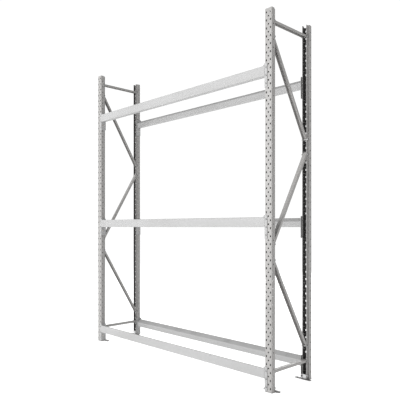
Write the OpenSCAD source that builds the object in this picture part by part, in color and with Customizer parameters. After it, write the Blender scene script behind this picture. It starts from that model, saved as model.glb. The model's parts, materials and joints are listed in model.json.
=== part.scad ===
// Tyre storage rack: boltless steel racking with three pairs of tyre beams.
// Two bolted side frames stand on foot plates. Each tyre level is a front and a rear beam,
// whose end connectors hook into the perforated uprights and are locked with safety pins.
// Origin: bottom centre of the rack on the floor. +X runs along the beams to the right,
// +Y points to the rear, +Z up.

/* [Rack] */
// Overall height of the uprights above the floor
rack_h = 2400; // [2400:50:3000]
// Width over the outer faces of the uprights
rack_w = 1985; // [1200:5:2600]
// Depth over the outer faces of the uprights
rack_d = 435; // [400:5:800]
// Height of the beams' upper edge at each level, lowest first
level_z = [145, 1095, 2045]; // [145:50:2345]

/* [Uprights] */
// Width of the perforated web
post_w = 54; // [54:1:60]
// Depth from the web to the step
post_side = 29; // [27:1:30]
// Depth from the web to the open edge of the neck
post_depth = 46; // [46:1:50]
// Clear width of the neck, which takes the bracing
neck_gap = 30; // [28:1:30]
// Sheet thickness of the upright
post_t = 2; // [1.5:0.5:2]
// Sideways distance of a slot column from the middle of the web
slot_x = 16; // [15:0.5:17]

/* [Beams] */
// Height of the beam's outer face
beam_h = 64; // [56:1:72]
// Depth of the beam section
beam_d = 40; // [36:1:44]
// Height of the beam's inner face, below the tyre slope
beam_inner_h = 40; // [32:1:48]
// Width of the flat on top of the beam
beam_flat = 8; // [6:1:12]
// Sheet thickness of the beam
beam_t = 1.5; // [1.5:0.5:2]

/* [Bracing] */
// Depth of the brace channel's flanges
brace_flange = 17; // [14:1:18]
// Height of the lowest horizontal brace
brace_low_z = 125; // [125:50:175]

/* [Feet] */
// Thickness of the foot plate
foot_t = 4; // [3:0.5:6]
// How far the foot plate runs into the bay, past the side of the upright
foot_reach = 45; // [40:1:60]
// How far the foot plate runs out of the other side of the upright
foot_outside = 26; // [20:1:40]
// Diameter of the anchor hole
anchor_d = 12; // [10:0.5:14]

/* [Safety pins] */
// Diameter of the pin's shank
pin_d = 5; // [4:0.5:6]
// Length of the shank behind the head
pin_length = 16; // [14:1:20]

/* [Hidden] */
$fn = 32;
cut = 1;
sides = ["left", "right"];
depths = ["front", "rear"];
levels = ["low", "mid", "top"];

// Perforation: the slots lie half a pitch off the round holes. The necks have only bolt holes.
pitch = 50;
rows = floor(rack_h / pitch);
slot_w = 9;
slot_h = 14;
round_d = 10;
side_hole_d = 9;
side_hole_y = 15;
neck_hole_d = 8.4;
neck_y = (post_side + post_depth) / 2;
post_bend = 2;

// End connector: an L of thicker sheet with three hooks and a gusset on the beam.
plate_t = 3;
plate_h = 150;
plate_above = 13;
plate_leg = 22;
plate_gap = 0.3;
plate_bend = 2.5;
plate_corner = 7;
plate_face = plate_gap + plate_t;
gusset_w = 11;
hook_rows = [20, 70, 120];
hook_w = 6;
hook_root = 5.7;
hook_rise = 1;
hook_drop = 14;
window_h = 13;

// Beam section: half the sheet inside its outer outline.
beam_bend = 2.25;
bend_steps = 6;
beam_slope = (beam_h - beam_inner_h) / (beam_d - beam_flat);
beam_x = rack_w / 2 - post_w - plate_face;

// Bracing: bolt heights of each brace at the front and the rear upright.
brace_w = neck_gap - 1;
brace_t = 1.5;
brace_end = 12;
brace_bend = 1.75;
brace_rise = 600;
brace_gap = 100;
diagonal_step = brace_rise + brace_gap;
braces = [
    ["bottom", brace_low_z, brace_low_z],
    ["lower", brace_low_z + diagonal_step, brace_low_z + brace_gap],
    ["middle", brace_low_z + diagonal_step + brace_gap, brace_low_z + 2 * diagonal_step],
    ["upper", brace_low_z + 3 * diagonal_step, brace_low_z + 2 * diagonal_step + brace_gap],
    ["top", brace_low_z + 3 * diagonal_step + brace_gap, brace_low_z + 3 * diagonal_step + brace_gap]
];

// M8 flanged fasteners through the necks.
bolt_d = 8;
bolt_hex = 13;
bolt_head = 5.5;
nut_h = 6.5;
flange_d = 16;
flange_t = 1.5;
neck_w = neck_gap + 2 * post_t;
bolt_tail = 1.8;
thread_gap = 0.05;

// Foot plate: a pad under the upright, a strip across its inner edge, and an upstand in the neck.
foot_back = 60;
foot_strip = 26;
foot_corner = 8;
upstand_h = 30;
upstand_t = 3;
upstand_bolt_z = pitch / 2;
anchor_x = post_w + 24;

pin_head_d = 13;
pin_head_t = 3;
pin_clearance = 0.05;
pin_below = 95;
pin_tip = 2;

// ---- Bent sheet profiles ----

// Direction of the path's step that starts at point i, and how far the path turns there.
function step_dir(path, i) =
    let (n = len(path), a = path[(i + n) % n], b = path[(i + 1) % n]) (b - a) / norm(b - a);
function turn(path, i) =
    let (a = step_dir(path, i - 1), b = step_dir(path, i)) atan2(a.x * b.y - a.y * b.x, a * b);
function left_of(v) = [-v.y, v.x];
function spin(v, a) = [v.x * cos(a) - v.y * sin(a), v.x * sin(a) + v.y * cos(a)];

// A bend of radius r at point i: the length it takes off each flat, its centre, and the way to it.
function setback(path, i, r) = r * tan(abs(turn(path, i)) / 2);
function inward(path, i) = sign(turn(path, i)) * left_of(step_dir(path, i - 1));
function bend_centre(path, i, r) =
    path[i] - step_dir(path, i - 1) * setback(path, i, r) + inward(path, i) * r;

// One flat of an open bent sheet, from the end of one bend to the start of the next.
module flat_strip(path, i, t, r) {
    along = step_dir(path, i);
    a = path[i] + along * (i > 0 ? setback(path, i, r) : 0);
    b = path[i + 1] - along * (i + 1 < len(path) - 1 ? setback(path, i + 1, r) : 0);
    half = left_of(along) * t / 2;
    polygon([a - half, b - half, b + half, a + half]);
}

// One bend of an open bent sheet: the part of a ring between two flats.
module bend(path, i, t, r) {
    centre = bend_centre(path, i, r);
    start = -inward(path, i) * 3 * (r + t);
    end = spin(start, turn(path, i));
    intersection() {
        translate(centre) difference() {
            circle(r + t / 2);
            circle(r - t / 2);
        }
        polygon([centre, centre + start, centre + start + end, centre + end]);
    }
}

// Sheet of thickness t bent along the path of its middle, with bends of middle radius r.
module bent_sheet(path, t, r) {
    for (i = [0 : len(path) - 2]) flat_strip(path, i, t, r);
    for (i = [1 : len(path) - 2]) bend(path, i, t, r);
}

// Outline at a distance out from the closed path, with its bends in short steps.
function outline(path, r, out) = [
    for (i = [0 : len(path) - 1], k = [0 : bend_steps])
        bend_centre(path, i, r) - spin(inward(path, i), turn(path, i) * k / bend_steps) * (r + out)
];

// Closed sheet section of thickness t along the path of its middle.
module closed_sheet(path, t, r) {
    difference() {
        polygon(outline(path, r, t / 2));
        polygon(outline(path, r, -t / 2));
    }
}

// ---- Placing ----

// The frame of one upright: x from its outer side into the bay, y from its web inward.
module at_post(d, s) {
    mirror([s == "right" ? 1 : 0, 0, 0])
    mirror([0, d == "rear" ? 1 : 0, 0])
    translate([-rack_w / 2, -rack_d / 2, 0])
    children();
}

// The frame of a beam: x along the rack from its middle, y from the web plane inward.
module at_beam(d) {
    mirror([0, d == "rear" ? 1 : 0, 0])
    translate([0, -rack_d / 2, 0])
    children();
}

// A side frame, seen from its own middle plane.
module at_frame(s) {
    translate([(s == "right" ? 1 : -1) * (rack_w - post_w) / 2, 0, 0]) children();
}

module across_x(d, length) {
    rotate([0, 90, 0]) cylinder(d = d, h = length, center = true);
}

// ---- Upright ----

module web_slot() {
    rotate([90, 0, 0])
    linear_extrude(4 * post_t, center = true) {
        square([slot_w, slot_h - slot_w], center = true);
        for (z = [-1, 1]) translate([0, z * (slot_h - slot_w) / 2]) circle(d = slot_w);
    }
}

module upright(d, s) {
    middle = post_w / 2;
    half = post_t / 2;
    neck = (neck_gap + post_t) / 2;
    left_half = [
        [middle - neck, post_depth],
        [middle - neck, post_side - half],
        [half, post_side - half],
        [half, half]
    ];
    right_half = [for (i = [3 : -1 : 0]) [post_w - left_half[i].x, left_half[i].y]];
    bolt_z = concat([upstand_bolt_z], [for (b = braces) d == "front" ? b[1] : b[2]]);
    color("gainsboro")
    at_post(d, s)
    difference() {
        translate([0, 0, foot_t])
        linear_extrude(rack_h - foot_t)
        bent_sheet(concat(left_half, right_half), post_t, post_bend);
        for (k = [0 : rows - 1], x = [-1, 1])
            translate([middle + x * slot_x, 0, (k + 0.5) * pitch]) web_slot();
        for (k = [1 : rows - 1]) {
            translate([middle, 0, k * pitch])
                rotate([90, 0, 0]) cylinder(d = round_d, h = 4 * post_t, center = true);
            translate([middle, side_hole_y, k * pitch]) across_x(side_hole_d, post_w + 2 * cut);
        }
        for (z = bolt_z) translate([middle, neck_y, z]) across_x(neck_hole_d, post_w + 2 * cut);
    }
}

// ---- Foot plate ----

// Pad with the strip that takes the anchor, and the channel between the upright's neck flanks.
module foot(d, s) {
    middle = post_w / 2;
    rim = (brace_w - upstand_t) / 2;
    strip_y = foot_back - foot_strip;
    color("silver")
    at_post(d, s) {
        linear_extrude(foot_t)
        difference() {
            union() {
                translate([-1, -plate_gap]) square([post_w + 2, foot_back]);
                translate([-foot_outside, strip_y]) square([post_w + foot_outside + foot_reach, foot_strip]);
            }
            translate([anchor_x, foot_back - foot_strip / 2]) circle(d = anchor_d);
            for (x = [-foot_outside, post_w + foot_reach], y = [strip_y, foot_back])
                translate([x, y]) rotate(45) square(foot_corner, center = true);
        }
        difference() {
            translate([0, 0, foot_t])
            linear_extrude(upstand_h)
            bent_sheet([[middle - rim, post_side + 2], [middle - rim, post_depth],
                        [middle + rim, post_depth], [middle + rim, post_side + 2]], upstand_t, plate_bend);
            translate([middle, neck_y, upstand_bolt_z]) across_x(neck_hole_d, post_w);
        }
    }
}

// ---- Bracing ----

// A channel with its web up, bolted through the necks at both ends.
module brace(b, s) {
    y = rack_d / 2 - neck_y;
    rise = b[2] - b[1];
    span = norm([2 * y, rise]);
    half = brace_t / 2;
    edge = brace_w / 2 - half;
    top = brace_flange / 2 - half;
    color("gainsboro")
    at_frame(s)
    translate([0, -y, b[1]])
    rotate([atan2(rise, 2 * y), 0, 0])
    difference() {
        translate([0, span + brace_end, 0])
        rotate([90, 0, 0])
        linear_extrude(span + 2 * brace_end)
        bent_sheet([[-edge, -brace_flange / 2], [-edge, top], [edge, top], [edge, -brace_flange / 2]],
                   brace_t, brace_bend);
        for (at = [0, span]) translate([0, at, 0]) across_x(neck_hole_d, brace_w + 2 * cut);
    }
}

// ---- Beam and its connectors ----

module beam(z, d) {
    half = beam_t / 2;
    flat = beam_flat - half * tan(atan(beam_slope) / 2);
    inner = beam_d - half;
    section = [
        [half, half],
        [half, beam_h - half],
        [flat, beam_h - half],
        [inner, beam_h - half - beam_slope * (inner - flat)],
        [inner, half]
    ];
    color("whitesmoke")
    at_beam(d)
    translate([-beam_x, -plate_face, z - beam_h])
    rotate([90, 0, 90])
    linear_extrude(2 * beam_x)
    closed_sheet(section, beam_t, beam_bend);
}

// A hook that passes through an upright's slot and drops behind its web.
module hook() {
    depth = plate_face + post_t + plate_gap;
    translate([-hook_w / 2, -plate_face, -hook_root])
        cube([hook_w, depth + plate_t, hook_root + hook_rise]);
    translate([-hook_w / 2, post_t + plate_gap, hook_rise - hook_drop]) cube([hook_w, plate_t, hook_drop]);
}

module connector(z, d, s) {
    mid = plate_gap + plate_t / 2;
    corner = post_w + mid;
    slot = post_w / 2 + slot_x;
    edge = post_w + plate_face - plate_leg;
    color("gainsboro")
    at_post(d, s)
    translate([0, 0, z]) {
        difference() {
            translate([0, 0, plate_above - plate_h])
            linear_extrude(plate_h)
            bent_sheet([[edge, -mid], [corner, -mid], [corner, post_depth]], plate_t, plate_bend);
            for (x = [edge, corner], end = [plate_above, plate_above - plate_h])
                translate([x, x == edge ? -mid : post_depth, end])
                rotate(x == edge ? [0, 45, 0] : [45, 0, 0])
                cube([plate_corner, plate_corner, plate_corner], center = true);
            for (row = hook_rows)
                translate([slot - hook_w / 2, -plate_face - cut, hook_rise - row])
                cube([hook_w, plate_t + cut + plate_gap, window_h]);
            translate([corner, side_hole_y, -pin_below]) across_x(pin_d + 2 * pin_clearance, 2 * plate_t);
        }
        for (row = hook_rows) translate([slot, 0, -row]) hook();
        translate([post_w + plate_face, -plate_gap, 0])
        rotate([90, 0, 0])
        linear_extrude(plate_t)
        polygon([[-plate_t, 0], [gusset_w, 0], [0, plate_above], [-plate_t, plate_above]]);
    }
}

// ---- Safety pin ----

// A headed pin that locks the connector to the upright's side wall under the beam.
module safety_pin(z, d, s) {
    color("goldenrod")
    at_post(d, s)
    translate([post_w + plate_face, side_hole_y, z - pin_below])
    rotate([0, -90, 0]) {
        cylinder(d = pin_d, h = pin_length - pin_tip);
        translate([0, 0, pin_length - pin_tip]) cylinder(d1 = pin_d, d2 = pin_d - pin_tip, h = pin_tip);
        translate([0, 0, -pin_head_t]) cylinder(d = pin_head_d, h = pin_head_t);
    }
}

// ---- Fasteners ----

// A flanged hex bolt along x, with its head on the outer neck flank at x = 0.
module neck_bolt() {
    rotate([0, 90, 0]) {
        cylinder(d = bolt_d, h = neck_w + flange_t + nut_h + bolt_tail);
        translate([0, 0, -flange_t]) cylinder(d = flange_d, h = flange_t);
        translate([0, 0, -flange_t - bolt_head]) cylinder(d = bolt_hex / cos(30), h = bolt_head, $fn = 6);
    }
}

// A flanged hex nut on the inner neck flank.
module neck_nut() {
    translate([neck_w, 0, 0])
    rotate([0, 90, 0])
    difference() {
        union() {
            cylinder(d = flange_d, h = flange_t);
            translate([0, 0, flange_t]) cylinder(d = bolt_hex / cos(30), h = nut_h, $fn = 6);
        }
        translate([0, 0, -cut]) cylinder(d = bolt_d + 2 * thread_gap, h = nut_h + 2 * flange_t + 2 * cut);
    }
}

module at_neck(d, s, z) {
    at_post(d, s) translate([(post_w - neck_w) / 2, neck_y, z]) children();
}

module at_brace_ends(s) {
    for (b = braces) {
        at_neck("front", s, b[1]) children();
        at_neck("rear", s, b[2]) children();
    }
}

module brace_bolts(s) {
    color("silver") at_brace_ends(s) neck_bolt();
}

module brace_nuts(s) {
    color("silver") at_brace_ends(s) neck_nut();
}

module foot_bolts() {
    color("silver") for (d = depths, s = sides) at_neck(d, s, upstand_bolt_z) neck_bolt();
}

module foot_nuts() {
    color("silver") for (d = depths, s = sides) at_neck(d, s, upstand_bolt_z) neck_nut();
}

// ---- Assembly ----

for (d = depths, s = sides) {
    upright(d, s);
    foot(d, s);
}
for (s = sides, b = braces)
    brace(b, s);
for (l = [0 : 2], d = depths) {
    beam(level_z[l], d);
    for (s = sides) {
        end = str(levels[l], "_", d, "_", s);
        connector(level_z[l], d, s);
        safety_pin(level_z[l], d, s);
    }
}
for (s = sides) {
    brace_bolts(s);
    brace_nuts(s);
}
foot_bolts();
foot_nuts();
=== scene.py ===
"""Tyre storage rack: materials, fasteners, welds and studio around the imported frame."""

import json
import math

import bmesh
import bpy
from mathutils import Matrix, Vector


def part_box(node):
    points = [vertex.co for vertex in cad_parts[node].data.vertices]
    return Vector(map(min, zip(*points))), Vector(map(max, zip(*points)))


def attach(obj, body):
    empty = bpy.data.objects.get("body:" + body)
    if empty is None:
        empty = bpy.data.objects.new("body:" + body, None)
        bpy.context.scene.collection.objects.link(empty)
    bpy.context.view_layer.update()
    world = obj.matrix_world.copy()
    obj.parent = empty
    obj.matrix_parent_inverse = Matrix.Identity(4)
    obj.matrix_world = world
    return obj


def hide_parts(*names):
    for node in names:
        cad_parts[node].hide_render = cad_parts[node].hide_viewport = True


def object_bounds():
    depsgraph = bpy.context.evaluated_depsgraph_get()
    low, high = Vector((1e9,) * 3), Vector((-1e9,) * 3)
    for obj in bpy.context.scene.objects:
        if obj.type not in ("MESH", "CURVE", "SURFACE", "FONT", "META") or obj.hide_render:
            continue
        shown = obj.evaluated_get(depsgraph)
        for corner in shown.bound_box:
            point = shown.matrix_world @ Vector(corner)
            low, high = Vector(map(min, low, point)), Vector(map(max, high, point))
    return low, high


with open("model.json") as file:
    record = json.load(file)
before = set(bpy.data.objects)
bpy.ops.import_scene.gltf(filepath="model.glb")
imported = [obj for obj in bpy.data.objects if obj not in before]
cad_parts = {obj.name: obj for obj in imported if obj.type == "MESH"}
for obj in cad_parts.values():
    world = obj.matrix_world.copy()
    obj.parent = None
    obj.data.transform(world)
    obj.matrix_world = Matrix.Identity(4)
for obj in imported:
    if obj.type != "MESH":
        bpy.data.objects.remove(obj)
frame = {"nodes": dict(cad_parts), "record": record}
cad_low, cad_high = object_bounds()

MM = 0.001
SIDES = ("left", "right")
DEPTHS = ("front", "rear")
LEVELS = ("low", "mid", "top")
ROOT = "rack"

# Camera: level, with its frame shifted up so that the uprights stay vertical.
CAMERA_PLACE = (2.888, -2.650, 1.035)
CAMERA_TURN = math.radians(46.225)
CAMERA_LENS = 44.33
SENSOR = 36.0
CAMERA_SHIFT_UP = 0.0665


# ---- Node helpers ----

def new_material(name):
    """A material with an empty Principled shader, and its tree and shader."""
    material = bpy.data.materials.new(name)
    material.use_nodes = True
    tree = material.node_tree
    return material, tree, tree.nodes["Principled BSDF"]


def add(tree, kind, values=None, **props):
    """A node of this kind with properties set, and inputs set or linked by name or number."""
    made = tree.nodes.new("ShaderNode" + kind)
    for key, value in props.items():
        setattr(made, key, value)
    for key, value in (values or {}).items():
        if isinstance(value, bpy.types.NodeSocket):
            tree.links.new(value, made.inputs[key])
        else:
            made.inputs[key].default_value = value
    return made


def noise(tree, where, scale, detail=3.0, roughness=0.55):
    made = add(tree, "TexNoise", {"Vector": where, "Scale": scale, "Detail": detail, "Roughness": roughness})
    return made.outputs["Fac"]


def ranged(tree, value, low, high, out_low=0.0, out_high=1.0):
    """The value with low..high spread over out_low..out_high, smoothly."""
    made = add(tree, "MapRange", {"Value": value, "From Min": low, "From Max": high,
                                  "To Min": out_low, "To Max": out_high},
               interpolation_type="SMOOTHSTEP")
    return made.outputs["Result"]


def times(tree, a, b):
    return add(tree, "Math", {0: a, 1: b}, operation="MULTIPLY").outputs[0]


def plus(tree, a, b):
    return add(tree, "Math", {0: a, 1: b}, operation="ADD").outputs[0]


def blended(tree, factor, a, b):
    """Colour a turning to colour b as factor goes from 0 to 1."""
    made = add(tree, "Mix", {0: factor, 6: a, 7: b}, data_type="RGBA")
    return made.outputs[2]


def grey(value, warm=0.0):
    return (value * (1 + warm), value, value * (1 - warm), 1.0)


def stretched(tree, where, scale):
    return add(tree, "Mapping", {"Vector": where, "Scale": scale}).outputs["Vector"]


def edge_mask(tree, radius, low, high):
    """1 on sharp outer edges and 0 on flats, and the normal rounded over those edges."""
    rounded = add(tree, "Bevel", {"Radius": radius}, samples=6).outputs["Normal"]
    flat = add(tree, "NewGeometry").outputs["Normal"]
    dot = add(tree, "VectorMath", {0: rounded, 1: flat}, operation="DOT_PRODUCT").outputs["Value"]
    turned = add(tree, "Math", {0: 1.0, 1: dot}, operation="SUBTRACT").outputs[0]
    return ranged(tree, turned, low, high), rounded


def positive(tree, vector):
    """The vector's parts without their signs, on a node with outputs X, Y and Z."""
    return add(tree, "SeparateXYZ", {0: add(tree, "VectorMath", {0: vector}, operation="ABSOLUTE").outputs[0]})


def inside_shade_mask(tree, where, axis_x, axis_y):
    """1 on the faces of an upright that look at the section's own axis, in whichever corner it stands: where
    the painted shade inside the section goes.
    """
    corner = add(tree, "VectorMath", {0: where}, operation="ABSOLUTE").outputs[0]
    out = add(tree, "VectorMath", {0: corner, 1: (axis_x, axis_y, 0.0)}, operation="SUBTRACT").outputs[0]
    flat = add(tree, "VectorMath", {0: out, 1: (-1.0, -1.0, 0.0)}, operation="MULTIPLY").outputs[0]
    quadrant = add(tree, "VectorMath", {0: where}, operation="SIGN").outputs[0]
    normal = add(tree, "NewGeometry").outputs["Normal"]
    turned = add(tree, "VectorMath", {0: normal, 1: quadrant}, operation="MULTIPLY").outputs[0]
    facing = add(tree, "VectorMath", {0: turned, 1: flat}, operation="DOT_PRODUCT").outputs["Value"]
    return ranged(tree, facing, 1.0 * MM, 5.0 * MM)


def between(tree, value, low, high, soft):
    """1 where the value lies between low and high, falling to 0 over the width soft."""
    return times(tree, ranged(tree, value, low - soft, low), ranged(tree, value, high, high + soft, 1.0, 0.0))


def punched_shade_mask(tree, where, sides, web):
    """1 on the cut faces of the holes, where painted shade goes: within the sheet of a side wall or the web,
    but not facing out of it.
    Sides are the distances of the side walls' middles from the rack's middle, and web that of the web's."""
    core = 0.7 * MM
    place = positive(tree, where)
    facing = positive(tree, add(tree, "NewGeometry").outputs["Normal"])
    masks = []
    for axis, middle in [("X", side) for side in sides] + [("Y", web)]:
        within = between(tree, place.outputs[axis], middle - core, middle + core, 0.2 * MM)
        masks.append(times(tree, within, ranged(tree, facing.outputs[axis], 0.2, 0.35, 1.0, 0.0)))
    return add(tree, "Math", {0: plus(tree, masks[0], masks[1]), 1: masks[2]}, operation="MAXIMUM").outputs[0]


# ---- Materials ----

# Tones beside that of the clean coat: painted shade inside the upright's section and on the cut faces of its
# holes, rubber marks and dust.
INSIDE_SHADE_TONE = 0.3
CUT_FACE_SHADE_TONE = 0.4
RUBBER_TONE = 0.35
DUST_TONE = 0.84

ZINC_TONE = 0.46
# The galvanised feet: a darker tone on faces that look up, and painted shade within a few mm of the floor.
FOOT_DARK_TONE = 0.085
LOW_SHADE_FROM = 6.5 * MM
LOW_SHADE_FULL = 4.5 * MM


def coated_steel(name, tone, streaks, warm=0.0, scuffs=0.0,
                 section_axis=None, section_sheets=None, dust=0.25):
    """Light grey powder coat on steel: orange peel, faint streaks along the sheet, edges rubbed thin.
    Scuffs are the dark rubber marks on the sloped top of a beam, in bands as wide as a tread.
    Inside a section with an axis, the faces that look into it are darkened in patches as painted shade, and so
    are the cut faces of the holes punched through its sheets."""
    material, tree, shader = new_material(name)
    where = add(tree, "TexCoord").outputs["Object"]
    broad = noise(tree, where, 2.6, 5.0, 0.6)
    mottle = noise(tree, where, 55.0, 4.0, 0.65)
    streak = noise(tree, stretched(tree, where, streaks), 1.0, 4.0, 0.6)
    shade = plus(tree, ranged(tree, broad, 0.3, 0.7, 0.0, 0.45), ranged(tree, streak, 0.35, 0.7, 0.0, 0.35))
    shade = plus(tree, shade, ranged(tree, mottle, 0.35, 0.7, 0.0, 0.25))
    colour = blended(tree, shade, grey(tone * 0.91, warm + 0.004), grey(tone * 1.07, warm - 0.004))

    # Pale dust lies on whatever faces up.
    up = add(tree, "SeparateXYZ", {0: add(tree, "NewGeometry").outputs["Normal"]}).outputs["Z"]
    dusty = times(tree, ranged(tree, up, 0.6, 0.95), times(tree, ranged(tree, mottle, 0.35, 0.65), dust))
    colour = blended(tree, dusty, colour, grey(tone * DUST_TONE, 0.03))

    # Painted shade: the faces inside the upright's section and the cut faces of its holes are darkened.
    if section_axis:
        uneven = ranged(tree, mottle, 0.3, 0.7, 0.9, 1.0)
        inside = times(tree, inside_shade_mask(tree, where, *section_axis), uneven)
        colour = blended(tree, inside, colour, grey(tone * INSIDE_SHADE_TONE, 0.02))
        punched = punched_shade_mask(tree, where, *section_sheets)
        colour = blended(tree, punched, colour, grey(tone * CUT_FACE_SHADE_TONE, 0.02))

    if scuffs:
        sloped = times(tree, ranged(tree, up, 0.68, 0.76), ranged(tree, up, 0.86, 0.94, 1.0, 0.0))
        band = ranged(tree, noise(tree, stretched(tree, where, (7.0, 0.6, 0.6)), 1.0, 2.0, 0.5), 0.46, 0.62)
        smear = ranged(tree, noise(tree, stretched(tree, where, (190.0, 7.0, 7.0)), 1.0, 4.0, 0.6), 0.4, 0.66)
        rubbed = times(tree, times(tree, sloped, band), times(tree, smear, scuffs))
        colour = blended(tree, rubbed, colour, grey(tone * RUBBER_TONE, 0.02))

    # The coat is thin on the sheet's edges, where the zinc shows in short stretches.
    edge, rounded = edge_mask(tree, 0.9 * MM, 0.03, 0.28)
    patchy = ranged(tree, noise(tree, where, 38.0, 5.0, 0.7), 0.46, 0.62)
    worn = times(tree, edge, patchy)
    colour = blended(tree, times(tree, worn, 0.8), colour, grey(ZINC_TONE, 0.01))
    tree.links.new(colour, shader.inputs["Base Color"])
    tree.links.new(times(tree, worn, 0.8), shader.inputs["Metallic"])

    rough = plus(tree, ranged(tree, mottle, 0.3, 0.7, 0.4, 0.5), ranged(tree, broad, 0.3, 0.7, -0.03, 0.05))
    rough = plus(tree, rough, times(tree, dusty, 0.5))
    tree.links.new(rough, shader.inputs["Roughness"])

    fine_peel = noise(tree, where, 620.0, 2.0, 0.5)
    peel = plus(tree, fine_peel, times(tree, noise(tree, where, 150.0, 2.0, 0.5), 0.8))
    bump = add(tree, "Bump", {"Height": peel, "Strength": 0.22, "Distance": 0.12 * MM, "Normal": rounded})
    tree.links.new(bump.outputs["Normal"], shader.inputs["Normal"])
    return material


def galvanised(name, tone):
    """Hot-dip zinc: flat crystals of differing brightness, a cloudy bloom, fine pits; darker on faces that look
    up, painted shade near the floor, painted highlight on sharp edges.
    """
    material, tree, shader = new_material(name)
    where = add(tree, "TexCoord").outputs["Object"]
    wander = add(tree, "TexNoise", {"Vector": where, "Scale": 60.0}).outputs["Color"]
    shift = add(tree, "VectorMath", {0: wander, "Scale": 0.006}, operation="SCALE").outputs["Vector"]
    bent = add(tree, "VectorMath", {0: where, 1: shift}, operation="ADD").outputs["Vector"]
    crystal = add(tree, "TexVoronoi", {"Vector": bent, "Scale": 110.0})
    cell = add(tree, "SeparateColor", {0: crystal.outputs["Color"]}).outputs[0]
    bloom = ranged(tree, noise(tree, where, 18.0, 5.0, 0.6), 0.35, 0.65)
    shade = plus(tree, times(tree, cell, 0.7), times(tree, bloom, 0.3))
    colour = blended(tree, shade, grey(tone * 0.86), grey(tone * 1.1, -0.01))
    edge, rounded = edge_mask(tree, 0.7 * MM, 0.04, 0.3)
    # Painted highlight: every sharp edge is lightened.
    colour = blended(tree, times(tree, edge, 0.4), colour, grey(tone * 1.2))
    # Darker and duller on faces that look up, and painted shade, up to 0.8, on everything within a few mm of
    # the floor.
    up = add(tree, "SeparateXYZ", {0: add(tree, "NewGeometry").outputs["Normal"]}).outputs["Z"]
    height = add(tree, "SeparateXYZ", {0: where}).outputs["Z"]
    low_shade = ranged(tree, height, LOW_SHADE_FULL, LOW_SHADE_FROM, 0.8, 0.0)
    dark_top_and_low_shade = add(tree, "Math", {0: ranged(tree, up, 0.6, 0.95), 1: low_shade}, operation="MAXIMUM").outputs[0]
    dark_top_and_low_shade = times(tree, dark_top_and_low_shade, ranged(tree, bloom, 0.0, 1.0, 0.7, 1.0))
    colour = blended(tree, dark_top_and_low_shade, colour, grey(FOOT_DARK_TONE, 0.04))
    tree.links.new(colour, shader.inputs["Base Color"])
    tree.links.new(ranged(tree, dark_top_and_low_shade, 0.0, 1.0, 0.85, 0.1), shader.inputs["Metallic"])
    rough = plus(tree, ranged(tree, cell, 0.0, 1.0, 0.34, 0.5), times(tree, bloom, 0.12))
    tree.links.new(plus(tree, rough, times(tree, dark_top_and_low_shade, 0.3)), shader.inputs["Roughness"])
    pits = noise(tree, where, 420.0, 3.0, 0.6)
    bump = add(tree, "Bump", {"Height": pits, "Strength": 0.25, "Distance": 0.1 * MM, "Normal": rounded})
    tree.links.new(bump.outputs["Normal"], shader.inputs["Normal"])
    return material


def plated(name, tone, warm, rough):
    """Bright zinc plate on small turned parts, a little clouded and scratched, with a painted highlight on
    sharp edges.
    """
    material, tree, shader = new_material(name)
    shader.inputs["Metallic"].default_value = 0.95
    where = add(tree, "TexCoord").outputs["Object"]
    cloud = noise(tree, where, 160.0, 4.0, 0.6)
    scratch = noise(tree, stretched(tree, where, (90.0, 900.0, 900.0)), 1.0, 3.0, 0.6)
    shade = plus(tree, times(tree, cloud, 0.6), times(tree, scratch, 0.4))
    edge, rounded = edge_mask(tree, 0.35 * MM, 0.04, 0.3)
    shade = ranged(tree, shade, 0.3, 0.7)
    colour = blended(tree, shade, grey(tone * 0.85, warm), grey(tone * 1.08, warm * 0.6))
    # Painted highlight: every sharp edge is lightened.
    colour = blended(tree, times(tree, edge, 0.35), colour, grey(tone * 1.25, warm * 0.3))
    tree.links.new(colour, shader.inputs["Base Color"])
    tree.links.new(ranged(tree, scratch, 0.3, 0.7, rough - 0.06, rough + 0.1), shader.inputs["Roughness"])
    bump = add(tree, "Bump", {"Height": scratch, "Strength": 0.2, "Distance": 0.05 * MM, "Normal": rounded})
    tree.links.new(bump.outputs["Normal"], shader.inputs["Normal"])
    return material


def weld_metal(name, tone):
    """A weld bead under the coat: the coat's grey, a little darker in patches."""
    material, tree, shader = new_material(name)
    where = add(tree, "TexCoord").outputs["Object"]
    soot = ranged(tree, noise(tree, where, 90.0, 4.0, 0.6), 0.35, 0.7)
    colour = blended(tree, soot, grey(tone * 0.88, 0.01), grey(tone * 1.02))
    tree.links.new(colour, shader.inputs["Base Color"])
    tree.links.new(ranged(tree, soot, 0.0, 1.0, 0.42, 0.56), shader.inputs["Roughness"])
    grain = noise(tree, where, 500.0, 2.0, 0.5)
    bump = add(tree, "Bump", {"Height": grain, "Strength": 0.3, "Distance": 0.1 * MM})
    tree.links.new(bump.outputs["Normal"], shader.inputs["Normal"])
    return material


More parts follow.
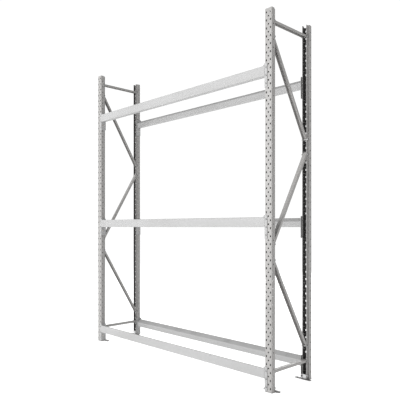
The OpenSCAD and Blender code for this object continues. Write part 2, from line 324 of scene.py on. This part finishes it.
PAINT_TONE = 0.285
POST_LOW, POST_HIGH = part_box("upright_rear_right")
POST_AXIS_DEPTH = 20.0 * MM
HALF_SHEET = 1.0 * MM
POST_AXIS = ((POST_LOW.x + POST_HIGH.x) / 2, POST_HIGH.y - POST_AXIS_DEPTH)
POST_SHEETS = ((POST_LOW.x + HALF_SHEET, POST_HIGH.x - HALF_SHEET), POST_HIGH.y - HALF_SHEET)
ALONG_Z = (26.0, 26.0, 0.8)
ALONG_X = (0.8, 26.0, 26.0)
ALONG_Y = (26.0, 2.0, 2.0)
LOOKS = {
    "upright_paint": coated_steel("upright_coat", PAINT_TONE * 0.92, ALONG_Z, warm=0.022,
                                  section_axis=POST_AXIS, section_sheets=POST_SHEETS),
    "beam_paint": coated_steel("beam_coat", PAINT_TONE * 1.08, ALONG_X, scuffs=0.35),
    "brace_steel": coated_steel("brace_coat", PAINT_TONE * 0.94, ALONG_Y, warm=0.022),
    "foot_zinc": galvanised("foot_galvanised", 0.5),
    "bolt_zinc": plated("bolt_plate", 0.3, 0.0, 0.45),
    "pin_zinc": plated("pin_plate", 0.42, 0.1, 0.38),
}
WELD = weld_metal("weld_coat", PAINT_TONE)

for part in frame["record"]["subparts"]:
    shown = frame["nodes"][part["node"]]
    look = LOOKS[part["material_slot"]]
    for place in shown.material_slots:
        place.material = look
    if not shown.material_slots:
        shown.data.materials.append(look)


# ---- Meshes of the detailed pieces ----

TURNS = 48


def piece(name, mesh, body, slot, *nodes):
    """An object of this mesh that rides on the body and stands for the CAD nodes named."""
    for polygon in mesh.polygons:
        polygon.use_smooth = True
    made = bpy.data.objects.new(name, mesh)
    bpy.context.collection.objects.link(made)
    made.data.materials.append(LOOKS[slot])
    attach(made, body)
    if nodes:
        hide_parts(*nodes)
    return made


def round_ring(radius, z):
    """A ring of TURNS points around Z."""
    return [(radius * math.cos(math.tau * k / TURNS), radius * math.sin(math.tau * k / TURNS), z)
            for k in range(TURNS)]


def hex_radius(k, across):
    """Distance from the axis to the side of a hexagon in the direction of ring point k."""
    sector = math.radians(60)
    return across / 2 / math.cos((math.tau * k / TURNS) % sector - sector / 2)


def hex_ring(across, z, top=None, top_radius=0.0):
    """A hexagonal ring; with top given, it lies where a 30 degree cone from that edge cuts the hexagon."""
    ring = []
    for k in range(TURNS):
        radius = hex_radius(k, across)
        fall = (radius - top_radius) * math.tan(math.radians(30))
        at = z if top is None else top - math.copysign(fall, top - z)
        ring.append((radius * math.cos(math.tau * k / TURNS), radius * math.sin(math.tau * k / TURNS), at))
    return ring


def thread_rings(crest, depth, pitch, start, end, steps=6):
    """Rings whose radius rises and falls along a helix, fading out at the start."""
    rings = []
    count = math.ceil((end - start) / pitch * steps)
    for j in range(count + 1):
        z = start + (end - start) * j / count
        ring = []
        for k in range(TURNS):
            phase = (z / pitch - k / TURNS) % 1.0
            cut = depth * abs(2 * phase - 1) * min(1.0, (z - start) / pitch)
            angle = math.tau * k / TURNS
            ring.append(((crest - cut) * math.cos(angle), (crest - cut) * math.sin(angle), z))
        rings.append(ring)
    return rings


def lathe(bm, rings, place, closed=False):
    """Skins the rings one after the other; open stacks are capped, closed ones join last to first."""
    grid = [[bm.verts.new(place @ Vector(point)) for point in ring] for ring in rings]
    pairs = list(zip(grid, grid[1:])) + ([(grid[-1], grid[0])] if closed else [])
    for a, b in pairs:
        for k in range(TURNS):
            n = (k + 1) % TURNS
            bm.faces.new((a[k], a[n], b[n], b[k]))
    if not closed:
        for ring, flip in ((grid[0], True), (grid[-1], False)):
            middle = bm.verts.new(sum((v.co for v in ring), Vector()) / TURNS)
            for k in range(TURNS):
                n = (k + 1) % TURNS
                bm.faces.new((middle, ring[n], ring[k]) if flip else (middle, ring[k], ring[n]))


def finished_mesh(bm, name, sharp=40.0):
    """The mesh in a data block, with edges turning more than sharp degrees kept crisp."""
    bmesh.ops.recalc_face_normals(bm, faces=bm.faces)
    for edge in bm.edges:
        if len(edge.link_faces) == 2 and edge.calc_face_angle() > math.radians(sharp):
            edge.smooth = False
    mesh = bpy.data.meshes.new(name)
    bm.to_mesh(mesh)
    bm.free()
    return mesh


# ---- Bolts and nuts ----

BOLT_R = 4.0 * MM
HEX = 13.0 * MM
HEAD_H = 5.5 * MM
FLANGE_R = 8.0 * MM
FLANGE_T = 1.5 * MM
NUT_H = 6.5 * MM
NECK_W = 34.0 * MM
TAIL = 1.8 * MM
BORE_R = 4.05 * MM
THREAD_PITCH = 1.25 * MM
THREAD_DEPTH = 0.6 * MM
CHAMFER_R = 0.46 * HEX
BRACE_GAP = 100.0 * MM
BRACE_BAYS = 3
SOFT = 0.25 * MM


def flange_rings(under, over):
    """The flange from its bearing face at under to the hexagon's foot at over."""
    way = math.copysign(1.0, over - under)
    return [round_ring(FLANGE_R - SOFT, under), round_ring(FLANGE_R, under + way * SOFT),
            round_ring(FLANGE_R, over - way * 2 * SOFT), round_ring(FLANGE_R - SOFT, over - way * SOFT)]


def neck_bolt(bm, place):
    """A flanged bolt along Z with its bearing face at 0: dished chamfered head, thread at the tip."""
    top = -FLANGE_T - HEAD_H
    end = NECK_W + FLANGE_T + NUT_H + TAIL
    tip = end - 0.8 * MM
    rings = [round_ring(3.4 * MM, top + 0.35 * MM), round_ring(4.2 * MM, top + 0.3 * MM),
             round_ring(4.7 * MM, top), round_ring(CHAMFER_R, top), hex_ring(HEX, 0.0, top, CHAMFER_R),
             hex_ring(HEX, -FLANGE_T)]
    rings += reversed(flange_rings(0.0, -FLANGE_T))
    rings += [round_ring(BOLT_R + SOFT, 0.0), round_ring(BOLT_R, SOFT)]
    rings += thread_rings(BOLT_R, THREAD_DEPTH, THREAD_PITCH, NECK_W + FLANGE_T + NUT_H / 2, tip)
    rings.append(round_ring(BOLT_R - 0.95 * MM, end))
    lathe(bm, rings, place)


def neck_nut(bm, place):
    """The flanged nut on the far neck flank, with countersunk bore."""
    low = NECK_W
    high = NECK_W + FLANGE_T + NUT_H
    sink = 0.5 * MM
    rings = [round_ring(BORE_R + sink, low)] + flange_rings(low, low + FLANGE_T)
    rings += [hex_ring(HEX, low + FLANGE_T), hex_ring(HEX, low, high, CHAMFER_R), round_ring(CHAMFER_R, high),
              round_ring(BORE_R + sink, high), round_ring(BORE_R, high - sink), round_ring(BORE_R, low + sink)]
    lathe(bm, rings, place, closed=True)


def neck_places():
    """Where the neck bolts go, by side: frames whose Z runs from the outer flank into the bay."""
    low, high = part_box("foot_bolts")
    flank_x = low.x + HEAD_H + FLANGE_T
    neck_y = low.y + FLANGE_R
    foot_z = (low.z + high.z) / 2
    bottom = sum((corner.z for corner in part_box("brace_bottom_left"))) / 2
    top = sum((corner.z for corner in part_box("brace_top_left"))) / 2
    step = (top - bottom - BRACE_GAP) / BRACE_BAYS
    front = [bottom, bottom + step, bottom + step + BRACE_GAP, bottom + BRACE_BAYS * step, top]
    rear = [bottom, bottom + BRACE_GAP, bottom + 2 * step, bottom + 2 * step + BRACE_GAP, top]
    found = {}
    for side, sign in zip(SIDES, (1, -1)):
        def at(y, z, turned):
            spot = Matrix.Translation((sign * flank_x, y, z)) @ Matrix.Rotation(sign * math.pi / 2, 4, "Y")
            return spot @ Matrix.Rotation(math.radians(turned), 4, "Z")
        braced = [(neck_y, z) for z in front] + [(-neck_y, z) for z in rear]
        found["brace", side] = [at(y, z, 37 * k % 60) for k, (y, z) in enumerate(braced)]
        found["foot", side] = [at(y, foot_z, 23 * k) for k, y in enumerate((neck_y, -neck_y))]
    return found


def fasteners():
    places = neck_places()
    groups = {
        "brace_{}_left": places["brace", "left"],
        "brace_{}_right": places["brace", "right"],
        "foot_{}": places["foot", "left"] + places["foot", "right"],
    }
    for pattern, spots in groups.items():
        for kind, build in (("bolts", neck_bolt), ("nuts", neck_nut)):
            bm = bmesh.new()
            for spot in spots:
                build(bm, spot)
            node = pattern.format(kind)
            piece(node + "_detailed", finished_mesh(bm, node), ROOT, "bolt_zinc", node)


# ---- Safety pins ----

# Profiles as radius and height in mm, from the head's bearing face.
PIN_DOME = [(1.2, -3.0), (3.2, -2.86), (4.9, -2.45), (6.0, -1.8), (6.45, -1.1), (6.5, -0.5), (6.3, -0.05),
            (6.1, 0.0)]
PIN_SHANK = [(2.5, 0.0), (2.5, 10.4), (2.15, 10.7), (2.15, 11.9), (2.5, 12.2), (2.5, 14.0), (1.7, 15.6),
             (1.3, 15.9), (0.6, 16.0)]
PIN_HEAD_H = 3.0 * MM


def safety_pins():
    """Domed head, grooved shank and rounded tip, along Z from the head's bearing face."""
    for level in LEVELS:
        for depth in DEPTHS:
            for side, sign in zip(SIDES, (1, -1)):
                node = f"safety_pin_{level}_{depth}_{side}"
                low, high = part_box(node)
                head = high.x if side == "left" else low.x
                face = Vector((head - sign * PIN_HEAD_H, (low.y + high.y) / 2, (low.z + high.z) / 2))
                place = Matrix.Translation(face) @ Matrix.Rotation(-sign * math.pi / 2, 4, "Y")
                bm = bmesh.new()
                lathe(bm, [round_ring(r * MM, z * MM) for r, z in PIN_DOME + PIN_SHANK], place)
                piece(node + "_detailed", finished_mesh(bm, node), node, "pin_zinc", node)


# ---- Welds ----

RIPPLE = 1.5 * MM
RIPPLE_STEPS = 4
BEAD_SIDES = 12
BEAM_FLAT = 8.0 * MM
BEAM_SLOPE_DROP = 24.0 * MM
RUN_R = 1.9 * MM
GROOVE_R = 1.1 * MM
FOOT_BEAD_R = 1.7 * MM
FOOT_BEAD_HALF = 11.0 * MM
WELD_SHARP = 80.0


def bead(bm, path, radius):
    """A weld bead along the path: ripples, and ends that run out."""
    lengths = [(b - a).length for a, b in zip(path, path[1:])]
    total = sum(lengths)
    count = max(8, round(total / RIPPLE * RIPPLE_STEPS))
    rings = []
    for j in range(count + 1):
        along = total * j / count
        left, i = along, 0
        while i < len(lengths) - 1 and left > lengths[i]:
            left -= lengths[i]
            i += 1
        way = (path[i + 1] - path[i]).normalized()
        centre = path[i] + way * min(left, lengths[i])
        side = way.orthogonal().normalized() if abs(way.x) > 0.9 else way.cross(Vector((1, 0, 0))).normalized()
        up = way.cross(side)
        runout = min(1.0, 0.35 + min(along, total - along) / (2.5 * radius))
        rise = (along / RIPPLE) % 1.0
        size = radius * runout * (0.9 + 0.14 * math.sin(math.pi * rise) + 0.05 * math.sin(along / RIPPLE * 0.7))
        ring = []
        for k in range(BEAD_SIDES):
            angle = math.tau * k / BEAD_SIDES
            out = side * math.cos(angle) + up * math.sin(angle)
            ring.append(bm.verts.new(centre + out * size))
        rings.append(ring)
    for a, b in zip(rings, rings[1:]):
        for k in range(BEAD_SIDES):
            n = (k + 1) % BEAD_SIDES
            bm.faces.new((a[k], a[n], b[n], b[k]))
    bm.faces.new(reversed(rings[0]))
    bm.faces.new(rings[-1])


def welds():
    """Beads between each beam and its connectors, and between each foot plate and its upstand."""
    for level in LEVELS:
        for depth in DEPTHS:
            low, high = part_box(f"beam_{level}_{depth}")
            inward = 1 if depth == "front" else -1
            outer, inner = (low.y, high.y) if depth == "front" else (high.y, low.y)
            shoulder = high.z - BEAM_SLOPE_DROP
            for side, sign in zip(SIDES, (1, -1)):
                end = low.x if side == "left" else high.x
                x = end + sign * 0.2 * MM
                run = [Vector((x, outer + inward * (BEAM_FLAT + 1.5 * MM), high.z - 0.8 * MM)),
                       Vector((x, inner - inward * 1.6 * MM, shoulder + 1.0 * MM)),
                       Vector((x, inner - inward * 0.3 * MM, shoulder - 1.6 * MM)),
                       Vector((x, inner - inward * 0.3 * MM, low.z + 5.0 * MM))]
                groove = [Vector((end - sign * 0.8 * MM, outer + inward * 1.35 * MM, z))
                          for z in (low.z + 2.0 * MM, high.z - 2.0 * MM)]
                bm = bmesh.new()
                bead(bm, run, RUN_R)
                bead(bm, groove, GROOVE_R)
                name = f"weld_{level}_{depth}_{side}"
                made = piece(name, finished_mesh(bm, name, WELD_SHARP), ROOT, "beam_paint")
                made.data.materials[0] = WELD
    for depth, inward in zip(DEPTHS, (1, -1)):
        for side, sign in zip(SIDES, (1, -1)):
            post_low, post_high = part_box(f"upright_{depth}_{side}")
            middle = (post_low.x + post_high.x) / 2
            back = (post_high.y if depth == "front" else post_low.y) + inward * 1.3 * MM
            bm = bmesh.new()
            ends = [Vector((middle + way * FOOT_BEAD_HALF, back, post_low.z)) for way in (-1, 1)]
            bead(bm, ends, FOOT_BEAD_R)
            name = f"weld_foot_{depth}_{side}"
            piece(name, finished_mesh(bm, name, WELD_SHARP), ROOT, "foot_zinc")


fasteners()
safety_pins()
welds()


# ---- Studio ----

def area_light(name, place, target, size, power):
    data = bpy.data.lights.new(name, "AREA")
    data.shape = "RECTANGLE"
    data.size, data.size_y = size
    data.energy = power
    lamp = bpy.data.objects.new(name, data)
    bpy.context.collection.objects.link(lamp)
    lamp.location = place
    lamp.rotation_euler = (Vector(target) - Vector(place)).to_track_quat("-Z", "Y").to_euler()


FLOOR_HALF = 30.0
FLOOR_GAP = 0.2 * MM
FLOOR_GLOW = 0.56
ROOM_LIGHT = 0.6
PAPER_WHITE = 1.05
# Name, place, point aimed at, size and power of each lamp.
LAMPS = [
    ("key", (-2.2, -7.0, 2.6), (0, 0, 1.1), (4.5, 4.5), 600.0),
    ("side_fill", (6.0, 1.0, 2.2), (1.0, 0, 1.2), (3.0, 3.0), 45.0),
    ("rear_fill", (-1.8, 6.5, 3.2), (0, 0, 1.2), (4.0, 4.0), 320.0),
]


def studio():
    size = FLOOR_HALF
    mesh = bpy.data.meshes.new("floor")
    corners = [(-size, -size, 0), (size, -size, 0), (size, size, 0), (-size, size, 0)]
    mesh.from_pydata(corners, [], [(0, 1, 2, 3)])
    floor = bpy.data.objects.new("floor", mesh)
    bpy.context.collection.objects.link(floor)
    floor.location.z = cad_low.z - FLOOR_GAP
    material, tree, shader = new_material("floor_pale")
    shader.inputs["Base Color"].default_value = grey(0.8)
    shader.inputs["Roughness"].default_value = 0.8
    shader.inputs["Emission Color"].default_value = grey(1.0)
    shader.inputs["Emission Strength"].default_value = FLOOR_GLOW
    floor.data.materials.append(material)

    # The paper behind the rack is lit to plain white, brighter than the light it gives back.
    world = bpy.data.worlds.new("studio")
    world.use_nodes = True
    tree = world.node_tree
    room = tree.nodes["Background"]
    room.inputs["Strength"].default_value = ROOM_LIGHT
    paper = add(tree, "Background", {"Strength": PAPER_WHITE})
    for shader in (room, paper):
        shader.inputs["Color"].default_value = grey(1.0)
    seen = add(tree, "LightPath").outputs["Is Camera Ray"]
    shown = add(tree, "MixShader", {0: seen, 1: room.outputs[0], 2: paper.outputs[0]})
    tree.links.new(shown.outputs[0], tree.nodes["World Output"].inputs["Surface"])
    bpy.context.scene.world = world
    bpy.context.scene.view_settings.view_transform = "Standard"

    for lamp in LAMPS:
        area_light(*lamp)


def camera():
    data = bpy.data.cameras.new("camera")
    data.lens = CAMERA_LENS
    data.sensor_width = SENSOR
    data.shift_y = CAMERA_SHIFT_UP
    eye = bpy.data.objects.new("camera", data)
    bpy.context.collection.objects.link(eye)
    eye.location = CAMERA_PLACE
    eye.rotation_euler = (math.pi / 2, 0.0, CAMERA_TURN)
    bpy.context.scene.camera = eye


studio()
camera()
